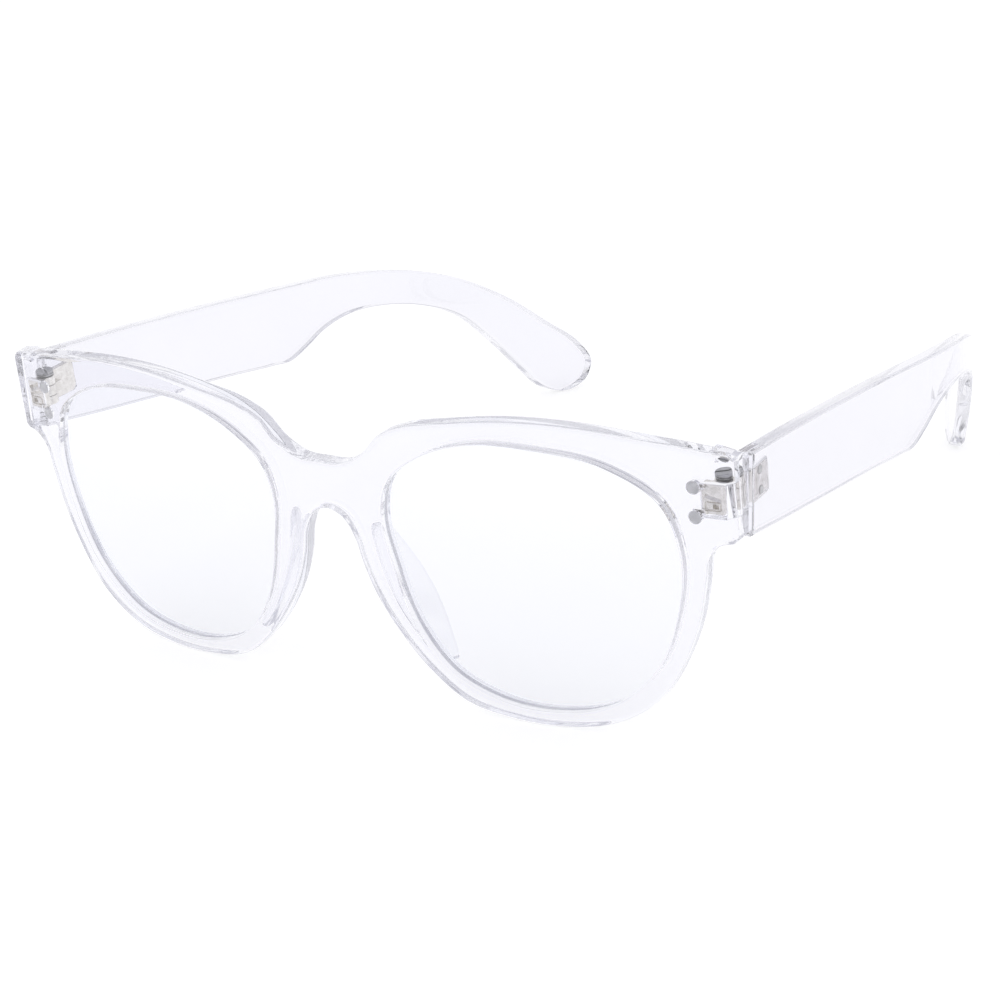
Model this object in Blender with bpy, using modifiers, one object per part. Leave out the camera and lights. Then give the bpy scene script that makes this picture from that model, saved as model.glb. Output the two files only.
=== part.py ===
"""Clear full-rim eyeglasses with folding temples, modelled open.

World frame, in metres: +X to the wearer's left, +Y back towards the ears, +Z up. The glasses stand on the
bottoms of their rims and the tips of their temples, so z = 0 is the surface they stand on, x = 0 is their plane
of symmetry, and y = 0 is half-way along them. Left and right are the wearer's.

The front is drawn in its own axes: x across, y back from the middle of its front face, and z up along its plane.
The temples are drawn in head axes, in which they run level and the front leans forward by FRONT_TILT.
"""

import math

import bmesh
import bpy
from mathutils import Matrix, Vector
from mathutils.geometry import interpolate_bezier

MM = 0.001

# Front
FACE_RADIUS = 336.0  # the face is bent round a vertical cylinder of this radius
FRONT_TILT = 9.2  # degrees between the front's plane and a square across the temples
RIM_DEPTH = 3.6
RIM_ROUNDING = 0.8
LENS_DEPTH = 1.5
LENS_IN_GROOVE = 0.3  # how far the lens reaches past the edge of the opening
GROOVE = 0.6
GROOVE_WIDTH = 2.1
BUTT = 10.9  # how far back, in head axes, the upright face is where the temple meets the endpiece
ENDPIECE_FRONT = 9.55  # the endpiece's wall and roof start inside the rim's depth
ENDPIECE_BACK = 15.5
ENDPIECE_WALL = 70.9  # inner face of the wall beside the hinge
ENDPIECE_ROOF_IN = 68.4
ENDPIECE_ROOF = 22.6  # underside of the roof over the hinge
ENDPIECE_SLOPES = [(-13.5, 7.0, 24.5), (-48.0, 10.1, 23.75)]  # degrees, and a point (y, z) in head axes
END_CUT = 60.0, 80.0  # cutters of an endpiece reach from here to here across the front
CLEARANCE = 0.3

# Temples
TEMPLE_OUT = 72.3  # half the width over the temples at the hinges
TEMPLE_THICK = 3.0
TEMPLE_START = 12.0
TEMPLE_CONVERGE = 0.0425  # inward lean of the straight part, per unit of length
EAR_START = 85.0
EAR_CURL = 0.00428  # inward curl of the ear part, per millimetre
TEMPLE_ROUNDING = 0.6

# Hinges, in the front's axes
HINGE_X = 68.5
HINGE_Y = 13.3
HINGE_Z = 15.2
KNUCKLE_RADIUS = 1.65
BARREL_HEIGHT = 5.2
MIDDLE_KNUCKLE = 1.9
KNUCKLE_GAP = 0.15
PIN_RADIUS = 0.65
PIN_CLEARANCE = 0.07
SCREW_HEAD_RADIUS = 1.55
SCREW_HEAD = 1.1
HEAD_ROOM = 0.5  # free height over the screw's head
NOTCH_OUT = 70.75
NOTCH_BACK = 17.0
SCREW_NOTCH_IN = 66.45
SCREW_NOTCH_OUT = 70.6
SCREW_NOTCH = 11.2, 16.5  # front and back
BLOCK_IN = 66.2
BLOCK_OUT = 69.9
BLOCK_FRONT = 9.2
BLOCK_BACK = 11.35
BLOCK_LOW = 13.0
BLOCK_TOP = 18.1
NECK_IN = 65.0
NECK_HEIGHT = 0.8
ARM_IN = 66.95
ARM_OUT = 70.05
ARM_INSET = 0.05  # arms and necks are this much lower than what they join
STUD_X = 65.2
STUD_DEPTH = 8.2, 8.85  # front and back of a front stud
STUD_HOLE = 7.9, 9.15
STUD_SPACING = 5.0
STUD_RADIUS = 1.1
LEAF_FRONT = 15.55
LEAF_BACK = 21.0
LEAF_THICK = 1.2
LEAF_HALF_HEIGHT = 2.9
TEMPLE_LEAF_OUT = 70.1
TEMPLE_STUD_Y = 18.2
TEMPLE_STUD_RISE = 1.7  # above and below the middle of the hinge
TEMPLE_STUD_RADIUS = 0.75
TEMPLE_STUD_LENGTH = 0.6

# Resting place
REST_PITCH = 5.77  # degrees that the level temples are tipped down at the back
REST_LIFT = 26.95
REST_AHEAD = 76.57

SPACING = 3.2  # length of the straight pieces along a rounded outline
CORNER = "corner"  # marks a point at which an outline turns sharply

# The right-hand halves of the outlines as (x, z) in the front's axes, from the top middle clockwise
FRONT_HALF = [
    (4.2, 15.8),
    (8.4, 18.0),
    (12.0, 21.6),
    (16.0, 23.5),
    (24.0, 25.2),
    (34.5, 26.7),
    (46.0, 27.0),
    (58.0, 26.1),
    (66.5, 25.2),
    (71.6, 24.5, CORNER),
    (72.4, 23.7, CORNER),
    (72.4, 10.6, CORNER),
    (71.6, 9.8, CORNER),
    (69.4, 9.2),
    (67.6, 7.2),
    (66.8, 3.4),
    (65.5, -3.0),
    (62.6, -11.0),
    (58.0, -18.8),
    (50.5, -24.3),
    (41.0, -26.6),
    (31.5, -26.6),
    (23.0, -24.8),
    (16.4, -19.7),
    (11.2, -13.3),
    (8.0, -7.8),
    (5.9, -2.0),
    (4.8, 2.6),
    (3.0, 5.7),
]
FRONT_TOP_MIDDLE = (0.0, 15.6)
FRONT_ARCH_MIDDLE = (0.0, 6.9)
OPENING = [
    (11.1, 7.5),
    (12.3, -1.5),
    (15.4, -12.0),
    (21.2, -19.7),
    (29.5, -23.4),
    (39.5, -24.0),
    (49.5, -21.3),
    (57.6, -13.8),
    (61.9, -3.5),
    (63.1, 7.0),
    (60.4, 15.4),
    (52.0, 20.6),
    (40.0, 22.4),
    (28.0, 21.9),
    (18.4, 18.2),
    (12.7, 13.2),
]

# The temple's side view as (y, z) in head axes, from the front lower corner along the bottom edge and back
TEMPLE_LOWER = [
    (24.0, 9.3),
    (40.0, 8.8),
    (60.0, 8.2),
    (73.0, 7.6),
    (78.5, 7.5),
    (83.5, 9.3),
    (89.0, 11.8),
    (97.0, 13.8),
    (107.0, 13.9),
    (117.0, 12.2),
    (126.5, 8.6),
    (135.0, 1.1),
    (141.5, -6.0),
]
TEMPLE_TIP = [
    (145.8, -10.4),
    (150.2, -11.9),
    (154.2, -9.8),
    (155.5, -5.6),
    (153.0, -1.2),
]
TEMPLE_UPPER = [
    (146.5, 4.2),
    (137.0, 11.3),
    (126.5, 16.6),
    (114.0, 20.2),
    (98.0, 22.1),
    (78.0, 22.9),
    (50.0, 23.5),
    (24.0, 23.6),
]
TEMPLE_FRONT_TOP = 23.4
TEMPLE_FRONT_BOTTOM = 9.8

# The base of a nose pad along the back of the rim, as (x, z), and how far the pad stands back from it
PAD_BASE = [(8.0, 5.0), (8.4, 0.5), (9.6, -5.0), (11.8, -10.2), (15.0, -15.2), (19.2, -19.4)]
PAD_DEPTH = [1.4, 3.6, 5.3, 5.4, 4.2, 1.6]
PAD_SPLAY = 30.0
PAD_THICK = 2.0
PAD_ROOT = 1.0  # how far the fin is drawn into the rim, before the rim's space is cut from it
PAD_FLARE = 0.06
RIM_SPACE = [(2.0, 12.0), (26.0, 12.0), (26.0, -26.0), (2.0, -26.0)]  # all the rim that a pad lies behind


# --- Scene and small helpers -------------------------------------------------------------------------


def clear_scene():
    for obj in list(bpy.data.objects):
        bpy.data.objects.remove(obj, do_unlink=True)


def new_collection(name):
    collection = bpy.data.collections.new(name)
    bpy.context.scene.collection.children.link(collection)
    return collection


def material(name, colour, roughness, metallic=0.0, transmission=0.0):
    made = bpy.data.materials.new(name)
    made.use_nodes = True
    shader = made.node_tree.nodes["Principled BSDF"]
    shader.inputs["Base Color"].default_value = (*colour, 1.0)
    shader.inputs["Roughness"].default_value = roughness
    shader.inputs["Metallic"].default_value = metallic
    shader.inputs["Transmission Weight"].default_value = transmission
    made.diffuse_color = (*colour, 1.0)
    return made


def smooth_loop(points, spacing=SPACING):
    """A closed curve through 2-D points, as Vectors about this far apart. It turns sharply at a CORNER."""
    knots = [Vector(p[:2]).to_3d() for p in points]
    count = len(knots)
    gaps = [(knots[(i + 1) % count] - knots[i]).length for i in range(count)]
    slopes = []
    for i in range(count):
        before, after = gaps[i - 1], gaps[i]
        back = (knots[i] - knots[i - 1]) / before
        ahead = (knots[(i + 1) % count] - knots[i]) / after
        if CORNER in points[i]:
            slopes.append((back, ahead))
        else:
            slopes.append([(back * after + ahead * before) / (before + after)] * 2)
    loop = []
    for i in range(count):
        j = (i + 1) % count
        reach = gaps[i] / 3
        straight = CORNER in points[i] and CORNER in points[j]
        steps = 1 if straight else max(1, round(gaps[i] / spacing))
        handles = knots[i] + slopes[i][1] * reach, knots[j] - slopes[j][0] * reach
        span = interpolate_bezier(knots[i], *handles, knots[j], steps + 1)
        loop += [p.to_2d() for p in span[:-1]]
    return loop


def offset_loop(loop, distance):
    """The loop moved outwards by distance, or inwards where it is negative."""
    area = sum(loop[i - 1].cross(loop[i]) for i in range(len(loop)))
    side = math.copysign(distance, area)
    moved = []
    for i, point in enumerate(loop):
        along = (loop[(i + 1) % len(loop)] - loop[i - 1]).normalized()
        moved.append(point + side * Vector((along.y, -along.x)))
    return moved


def mirrored(points):
    return [(-x, *rest) for x, *rest in reversed(points)]


def add_object(name, mesh, collection, finish=None):
    obj = bpy.data.objects.new(name, mesh)
    collection.objects.link(obj)
    if finish:
        mesh.materials.append(finish)
    return obj


def slab(name, loops, thickness, rounding, resolution=0):
    """A mesh of the area inside the loops, thickness deep about z = 0, with rounded rims. Loops are in mm."""
    curve = bpy.data.curves.new(name, "CURVE")
    curve.dimensions = "2D"
    curve.fill_mode = "BOTH"
    curve.extrude = (thickness / 2 - rounding) * MM
    curve.bevel_depth = rounding * MM
    curve.bevel_resolution = resolution
    curve.offset = -rounding * MM
    for loop in loops:
        spline = curve.splines.new("POLY")
        spline.points.add(len(loop) - 1)
        spline.use_cyclic_u = True
        for point, (x, y) in zip(spline.points, loop):
            point.co = (x * MM, y * MM, 0.0, 1.0)
    obj = bpy.data.objects.new(name, curve)
    bpy.context.scene.collection.objects.link(obj)
    bpy.context.view_layer.update()
    mesh = bpy.data.meshes.new_from_object(obj.evaluated_get(bpy.context.evaluated_depsgraph_get()))
    bpy.data.objects.remove(obj)
    weld(mesh)
    return mesh


def weld(mesh):
    bm = bmesh.new()
    bm.from_mesh(mesh)
    bmesh.ops.remove_doubles(bm, verts=bm.verts, dist=0.02 * MM)
    bmesh.ops.recalc_face_normals(bm, faces=bm.faces)
    bm.to_mesh(mesh)
    bm.free()


def slice_across(mesh, axis, positions):
    """Adds edges where the planes at these positions (mm) along an axis (0, 1 or 2) cross the mesh."""
    bm = bmesh.new()
    bm.from_mesh(mesh)
    normal = [0.0, 0.0, 0.0]
    normal[axis] = 1.0
    for position in positions:
        point = [0.0, 0.0, 0.0]
        point[axis] = position * MM
        everything = bm.verts[:] + bm.edges[:] + bm.faces[:]
        bmesh.ops.bisect_plane(bm, geom=everything, dist=1e-6, plane_co=point, plane_no=normal)
    bm.to_mesh(mesh)
    bm.free()


def face_sag(x):
    """How far the front's face lies behind its middle, x mm to one side."""
    return FACE_RADIUS - math.sqrt(FACE_RADIUS**2 - x * x)


def lean(mesh, back=1.0):
    """Moves each point of a mesh down, and back by this share, to follow the face's bend, which is level."""
    tilt = math.radians(FRONT_TILT)
    for vertex in mesh.vertices:
        sag = face_sag(vertex.co.x / MM) * MM
        vertex.co.y += sag * math.cos(tilt) * back
        vertex.co.z -= sag * math.sin(tilt)


def bend_to_face(mesh, every=6.0):
    """Bends a mesh in the front's axes round the face's cylinder."""
    half = int(72 / every)
    slice_across(mesh, 0, [(i + 0.5) * every for i in range(-half, half)])
    lean(mesh)


def front_slab(name, loops, y_low, y_high, rounding, resolution=0):
    """A slab of the front between two depths, in the front's axes, bent to the face."""
    mesh = slab(name, loops, y_high - y_low, rounding, resolution)
    mesh.transform(Matrix.Rotation(math.pi / 2, 4, "X"))
    mesh.transform(Matrix.Translation((0, (y_low + y_high) / 2 * MM, 0)))
    return mesh


def box_mesh(name, low, high, rounding=0.0, segments=1):
    """A box between two corners in mm, with its edges rounded."""
    mesh = bpy.data.meshes.new(name)
    bm = bmesh.new()
    size = [b - a for a, b in zip(low, high)]
    middle = [(a + b) / 2 * MM for a, b in zip(low, high)]
    scale = Matrix.Diagonal((*[s * MM for s in size], 1.0))
    bmesh.ops.create_cube(bm, size=1.0, matrix=Matrix.Translation(middle) @ scale)
    if rounding:
        edges = bm.edges[:]
        bmesh.ops.bevel(
            bm, geom=edges, offset=rounding * MM, segments=segments, profile=0.5, affect="EDGES"
        )
    bm.to_mesh(mesh)
    bm.free()
    return mesh


def rod_mesh(name, radius, low, high, centre=(0.0, 0.0), axis="Z", sides=24, chamfer=0.0):
    """A round rod along an axis, from low to high in mm, with its ends chamfered."""
    mesh = bpy.data.meshes.new(name)
    bm = bmesh.new()
    bmesh.ops.create_cone(
        bm,
        cap_ends=True,
        segments=sides,
        radius1=radius * MM,
        radius2=radius * MM,
        depth=(high - low) * MM,
    )
    if chamfer:
        ends = [e for e in bm.edges if abs(e.verts[0].co.z - e.verts[1].co.z) < 1e-9]
        bmesh.ops.bevel(bm, geom=ends, offset=chamfer * MM, segments=1, affect="EDGES")
    bm.transform(Matrix.Translation((0, 0, (low + high) / 2 * MM)))
    if axis == "Y":
        bm.transform(Matrix.Rotation(-math.pi / 2, 4, "X"))
        bm.transform(Matrix.Translation((centre[0] * MM, 0, centre[1] * MM)))
    elif axis == "X":
        bm.transform(Matrix.Rotation(math.pi / 2, 4, "Y"))
        bm.transform(Matrix.Translation((0, centre[0] * MM, centre[1] * MM)))
    else:
        bm.transform(Matrix.Translation((centre[0] * MM, centre[1] * MM, 0)))
    bm.to_mesh(mesh)
    bm.free()
    return mesh


class Builder:
    """Places meshes drawn on the wearer's left as left and right pieces, and cuts and joins them."""

    def __init__(self):
        self.parts = new_collection("eyeglasses")
        self.cutters = new_collection("cutters")
        self.root = self.empty("glasses_root", Matrix.Identity(4), None)
        drop = Matrix.Translation((0, -REST_AHEAD * MM, REST_LIFT * MM))
        self.head = drop @ Matrix.Rotation(math.radians(-REST_PITCH), 4, "X")
        self.front = self.head @ Matrix.Rotation(math.radians(FRONT_TILT), 4, "X")
        self.front_empty = self.empty("front_axes", self.front, self.root)
        self.hinges = {}
        for side, sign in (("left", 1), ("right", -1)):
            at = Matrix.Translation((sign * HINGE_X * MM, HINGE_Y * MM, HINGE_Z * MM))
            self.hinges[side] = self.empty(f"hinge_axis_{side}", self.front @ at, self.front_empty)

    def empty(self, name, placed, parent):
        obj = bpy.data.objects.new(name, None)
        obj.empty_display_size = 0.01
        self.parts.objects.link(obj)
        if parent:
            obj.parent = parent
            bpy.context.view_layer.update()
            obj.matrix_parent_inverse = parent.matrix_world.inverted()
        obj.matrix_world = placed
        bpy.context.view_layer.update()
        return obj

    def place(self, name, mesh, axes, finish, parent=None):
        """Adds a mesh drawn in these axes. A moving piece takes its origin from its hinge."""
        obj = add_object(name, mesh, self.parts, finish)
        parent = parent or self.front_empty
        mesh.transform(parent.matrix_world.inverted() @ axes)
        obj.parent = parent
        bpy.context.view_layer.update()
        return obj

    def change(self, obj, mesh, operation, axes=None):
        """Joins a tool mesh to obj, or cuts obj with it. The mesh is drawn in the same axes as obj was."""
        tool = add_object(f"{obj.name}_tool_{len(obj.modifiers)}", mesh, self.cutters)
        mesh.transform(obj.parent.matrix_world.inverted() @ axes)
        tool.parent = obj.parent
        tool.hide_render = True
        tool.display_type = "WIRE"
        modifier = obj.modifiers.new(operation.lower(), "BOOLEAN")
        modifier.operation = operation
        modifier.solver = "MANIFOLD"
        modifier.object = tool
        return obj


def flipped(mesh, sign):
    """The mesh itself for the wearer's left, or its mirror image for the right."""
    if sign < 0:
        mesh.transform(Matrix.Diagonal((-1.0, 1.0, 1.0, 1.0)))
        mesh.flip_normals()
    return mesh


# --- Front -------------------------------------------------------------------------------------------


def make_front(builder, clear):
    """The moulded front: two rims, bridge and endpieces, grooved for the lenses and pocketed for the hinges."""
    half = [FRONT_TOP_MIDDLE] + FRONT_HALF + [FRONT_ARCH_MIDDLE]
    outline = smooth_loop(half + mirrored(FRONT_HALF))
    openings = [smooth_loop(OPENING), smooth_loop(mirrored(OPENING))]
    mesh = front_slab("front_frame", [outline], 0.0, RIM_DEPTH, RIM_ROUNDING)
    bend_to_face(mesh)
    front = builder.place("front_frame", mesh, builder.front, clear)
    groove_low = (RIM_DEPTH - GROOVE_WIDTH) / 2
    for sign, opening in zip((1, -1), openings):
        loop = offset_loop(endpiece_loop(), -0.08)
        endpiece = front_slab("endpiece", [loop], ENDPIECE_FRONT, ENDPIECE_BACK, 0.0)
        lean(endpiece, 0.0)
        builder.change(front, flipped(endpiece, sign), "UNION", builder.front)
        behind = box_mesh("behind", (END_CUT[0], BUTT, 2.0), (END_CUT[1], BUTT + 12.0, 34.0))
        builder.change(front, flipped(behind, sign), "DIFFERENCE", builder.head)
        for degrees, y, z in ENDPIECE_SLOPES:
            above = box_mesh("above", (END_CUT[0], 0.0, 0.0), (END_CUT[1], 12.0, 12.0))
            above.transform(Matrix.Rotation(math.radians(degrees), 4, "X"))
            above.transform(Matrix.Translation((0, y * MM, z * MM)))
            builder.change(front, flipped(above, sign), "DIFFERENCE", builder.head)
        through = front_slab("opening", [opening], -2.0, RIM_DEPTH + 2.0, 0.0)
        lean(through)
        builder.change(front, through, "DIFFERENCE", builder.front)
        groove_loop = offset_loop(opening, GROOVE)
        groove = front_slab("groove", [groove_loop], groove_low, groove_low + GROOVE_WIDTH, 0.0)
        lean(groove)
        builder.change(front, groove, "DIFFERENCE", builder.front)
        for pocket in hinge_pockets():
            builder.change(front, flipped(pocket, sign), "DIFFERENCE", builder.front)
        for height in stud_heights():
            hole = rod_mesh("hole", STUD_RADIUS + CLEARANCE, *STUD_HOLE, (STUD_X, height), "Y", 16)
            builder.change(front, flipped(hole, sign), "DIFFERENCE", builder.front)
    return front


def hinge_pockets():
    """The notch for the front leaf, a taller one for the screw's head, and the two necks' slots."""
    low, high = HINGE_Z - BARREL_HEIGHT / 2, HINGE_Z + BARREL_HEIGHT / 2
    gap = CLEARANCE
    corner = BLOCK_IN - gap, BLOCK_FRONT - gap, low - gap
    pockets = [box_mesh("notch", corner, (NOTCH_OUT, NOTCH_BACK, BLOCK_TOP + gap))]
    front, back = SCREW_NOTCH
    corner = SCREW_NOTCH_IN, front, BLOCK_TOP - 0.4
    pockets.append(box_mesh("notch", corner, (SCREW_NOTCH_OUT, back, high + SCREW_HEAD + HEAD_ROOM)))
    for bottom in (BLOCK_TOP - NECK_HEIGHT, BLOCK_LOW):
        top = bottom + NECK_HEIGHT
        corner = NECK_IN - gap, BLOCK_FRONT - 0.24, bottom - 0.25
        pockets.append(box_mesh("slot", corner, (BLOCK_IN + 0.5, 11.0, top + 0.25)))
    return pockets


def endpiece_loop():
    """The wall and the roof that the endpiece carries back round the hinge. They follow the front's outline."""
    outer = [(x, z) for x, z, *_ in FRONT_HALF if x > ENDPIECE_WALL]
    inner = [(ENDPIECE_WALL, 9.5), (ENDPIECE_WALL, ENDPIECE_ROOF), (ENDPIECE_ROOF_IN, ENDPIECE_ROOF)]
    points = [(ENDPIECE_ROOF_IN, 24.85), *outer, *inner]
    return smooth_loop([(x, z, CORNER) for x, z in points])


def make_lens(builder, side, sign, lens):
    opening = smooth_loop(OPENING if sign > 0 else mirrored(OPENING))
    low = (RIM_DEPTH - LENS_DEPTH) / 2
    mesh = front_slab("lens", [offset_loop(opening, LENS_IN_GROOVE)], low, low + LENS_DEPTH, 0.25)
    bend_to_face(mesh)
    return builder.place(f"lens_{side}", mesh, builder.front, lens)


def make_nose_pad(builder, side, sign, clear):
    """A curved fin that stands back from the rim and splays outwards, cut to the rim's back face."""
    splay = math.radians(PAD_SPLAY)
    back = Vector((math.sin(splay), math.cos(splay)))
    rows = 5
    bm = bmesh.new()
    grid = []
    for (x, z), depth in zip(PAD_BASE, PAD_DEPTH):
        column = []
        for row in range(rows):
            reach = depth * row / (rows - 1) - PAD_ROOT * (row == 0)
            flare = PAD_FLARE * reach**2 / PAD_THICK
            y = RIM_DEPTH + reach * back.y
            column.append(bm.verts.new(Vector((x + reach * back.x + flare, y, z)) * MM))
        grid.append(column)
    for first, second in zip(grid, grid[1:]):
        for row in range(rows - 1):
            bm.faces.new((first[row], second[row], second[row + 1], first[row + 1]))
    bmesh.ops.recalc_face_normals(bm, faces=bm.faces)
    mesh = bpy.data.meshes.new("nose_pad")
    bm.to_mesh(mesh)
    bm.free()
    lean(mesh)
    pad = builder.place(f"nose_pad_{side}", flipped(mesh, sign), builder.front, clear)
    thick = pad.modifiers.new("thickness", "SOLIDIFY")
    thick.thickness = PAD_THICK * MM
    thick.offset = 0.0
    soft = pad.modifiers.new("soft", "SUBSURF")
    soft.levels = soft.render_levels = 1
    rim_space = front_slab("rim_space", [[Vector(p) for p in RIM_SPACE]], -4.0, RIM_DEPTH + CLEARANCE, 0.0)
    bend_to_face(rim_space)
    builder.change(pad, flipped(rim_space, sign), "DIFFERENCE", builder.front)
    return pad


# --- Hinges ------------------------------------------------------------------------------------------


def stud_heights():
    middle = HINGE_Z - 0.2
    return middle + STUD_SPACING / 2, middle - STUD_SPACING / 2


def knuckle_levels():
    """Low and high z of the lower, middle and upper knuckle."""
    low, high = HINGE_Z - BARREL_HEIGHT / 2, HINGE_Z + BARREL_HEIGHT / 2
    inner = MIDDLE_KNUCKLE / 2
    lower = low, HINGE_Z - inner - KNUCKLE_GAP
    upper = HINGE_Z + inner + KNUCKLE_GAP, high
    return lower, (HINGE_Z - inner, HINGE_Z + inner), upper


def bore(builder, obj, sign):
    """Cuts the screw's hole through a hinge leaf."""
    centre = (HINGE_X, HINGE_Y)
    hole = rod_mesh("bore", PIN_RADIUS + PIN_CLEARANCE, HINGE_Z - 4, HINGE_Z + 4, centre, "Z", 16)
    builder.change(obj, flipped(hole, sign), "DIFFERENCE", builder.front)


def make_front_leaf(builder, side, sign, metal):
    """The leaf set in the front: a block with two necks that reach the studs, and the outer two knuckles."""
    lower, _, upper = knuckle_levels()
    centre = (HINGE_X, HINGE_Y)
    block = box_mesh("block", (BLOCK_IN, BLOCK_FRONT, BLOCK_LOW), (BLOCK_OUT, BLOCK_BACK, BLOCK_TOP), 0.25)
    leaf = builder.place(f"hinge_front_leaf_{side}", flipped(block, sign), builder.front, metal)
    for bottom in (BLOCK_TOP - NECK_HEIGHT, BLOCK_LOW):
        low, high = bottom + ARM_INSET, bottom + NECK_HEIGHT - ARM_INSET
        neck = box_mesh("neck", (NECK_IN, BLOCK_FRONT + 0.05, low), (BLOCK_IN + 0.6, BLOCK_FRONT + 0.65, high))
        builder.change(leaf, flipped(neck, sign), "UNION", builder.front)
    for low, high in (lower, upper):
        arm_low = max(low, BLOCK_LOW) + ARM_INSET
        arm = box_mesh("arm", (ARM_IN, 11.0, arm_low), (ARM_OUT, HINGE_Y, high - ARM_INSET))
        builder.change(leaf, flipped(arm, sign), "UNION", builder.front)
        knuckle = rod_mesh("knuckle", KNUCKLE_RADIUS, low, high, centre, "Z", 24, 0.12)
        builder.change(leaf, flipped(knuckle, sign), "UNION", builder.front)
    bore(builder, leaf, sign)
    return leaf


def make_temple_leaf(builder, side, sign, metal):
    """The leaf set in the temple: a plate in the pocket of its inner face and the middle knuckle."""
    _, (low, high), _ = knuckle_levels()
    out = TEMPLE_LEAF_OUT
    corner = out - LEAF_THICK, LEAF_FRONT, HINGE_Z - LEAF_HALF_HEIGHT
    plate = box_mesh("plate", corner, (out, LEAF_BACK, HINGE_Z + LEAF_HALF_HEIGHT), 0.3)
    hinge = builder.hinges[side]
    leaf = builder.place(
        f"hinge_temple_leaf_{side}", flipped(plate, sign), builder.front, metal, hinge
    )
    arm = box_mesh("arm", (67.3, HINGE_Y, low + ARM_INSET), (out - 0.4, 16.0, high - ARM_INSET))
    builder.change(leaf, flipped(arm, sign), "UNION", builder.front)
    knuckle = rod_mesh("knuckle", KNUCKLE_RADIUS, low, high, (HINGE_X, HINGE_Y), "Z", 24, 0.12)
    builder.change(leaf, flipped(knuckle, sign), "UNION", builder.front)
    bore(builder, leaf, sign)
    return leaf


def make_screw(builder, side, sign, metal):
    """The hinge screw: a turned, slotted head on a plain pin."""
    top = HINGE_Z + BARREL_HEIGHT / 2 + KNUCKLE_GAP
    low = HINGE_Z - BARREL_HEIGHT / 2 - 0.25
    head = SCREW_HEAD_RADIUS
    profile = [(0, top + SCREW_HEAD), (head - 0.45, top + SCREW_HEAD), (head, top + SCREW_HEAD - 0.35)]
    profile += [(head, top), (PIN_RADIUS, top), (PIN_RADIUS, low + 0.2), (PIN_RADIUS - 0.2, low), (0, low)]
    mesh = bpy.data.meshes.new("screw")
    bm = bmesh.new()
    points = [bm.verts.new((r * MM, 0, z * MM)) for r, z in profile]
    for first, second in zip(points, points[1:]):
        bm.edges.new((first, second))
    bm.to_mesh(mesh)
    bm.free()
    at = builder.front @ Matrix.Translation((sign * HINGE_X * MM, HINGE_Y * MM, 0))
    screw = builder.place(f"hinge_screw_{side}", mesh, at, metal, builder.hinges[side])
    turned = screw.modifiers.new("turned", "SCREW")
    turned.steps = turned.render_steps = 24
    turned.use_merge_vertices = True
    turned.merge_threshold = 0.00002
    turned.use_smooth_shade = True
    slot = box_mesh("slot", (-2.5, -0.22, top + SCREW_HEAD - 0.5), (2.5, 0.22, top + SCREW_HEAD + 1))
    slot.transform(Matrix.Rotation(math.radians(sign * 35), 4, "Z"))
    builder.change(screw, slot, "DIFFERENCE", at)
    return screw


def make_front_studs(builder, side, sign, metal):
    """Two round studs that key the leaf into the front, each with its flat face just under the surface."""
    for place, height in zip(("upper", "lower"), stud_heights()):
        stud = rod_mesh("stud", STUD_RADIUS, *STUD_DEPTH, (STUD_X, height), "Y", 20, 0.15)
        builder.place(f"front_stud_{place}_{side}", flipped(stud, sign), builder.front, metal)


def make_temple_studs(builder, side, sign, metal):
    low = TEMPLE_LEAF_OUT + CLEARANCE
    for place, rise in (("upper", TEMPLE_STUD_RISE), ("lower", -TEMPLE_STUD_RISE)):
        at = TEMPLE_STUD_Y, HINGE_Z + rise
        stud = rod_mesh("stud", TEMPLE_STUD_RADIUS, low, low + TEMPLE_STUD_LENGTH, at, "X", 16, 0.12)
        hinge = builder.hinges[side]
        builder.place(f"temple_stud_{place}_{side}", flipped(stud, sign), builder.front, metal, hinge)


# --- Temples -----------------------------------------------------------------------------------------


def temple_face(y):
    """Distance from the middle plane to the temple's outer face, y mm back, in head axes."""
    straight = TEMPLE_OUT - TEMPLE_CONVERGE * (y - TEMPLE_START)
    return straight - EAR_CURL * max(0.0, y - EAR_START) ** 2


def temple_outline():
    corners = []
    top, bottom = TEMPLE_FRONT_TOP, TEMPLE_FRONT_BOTTOM
    for z, inset in ((top, 0.5), (top - 0.5, 0.0), (bottom + 0.5, 0.0), (bottom, 0.5)):
        corners.append((BUTT + CLEARANCE + inset, z, CORNER))
    return smooth_loop(corners + TEMPLE_LOWER + TEMPLE_TIP + TEMPLE_UPPER, 4.0)


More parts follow.
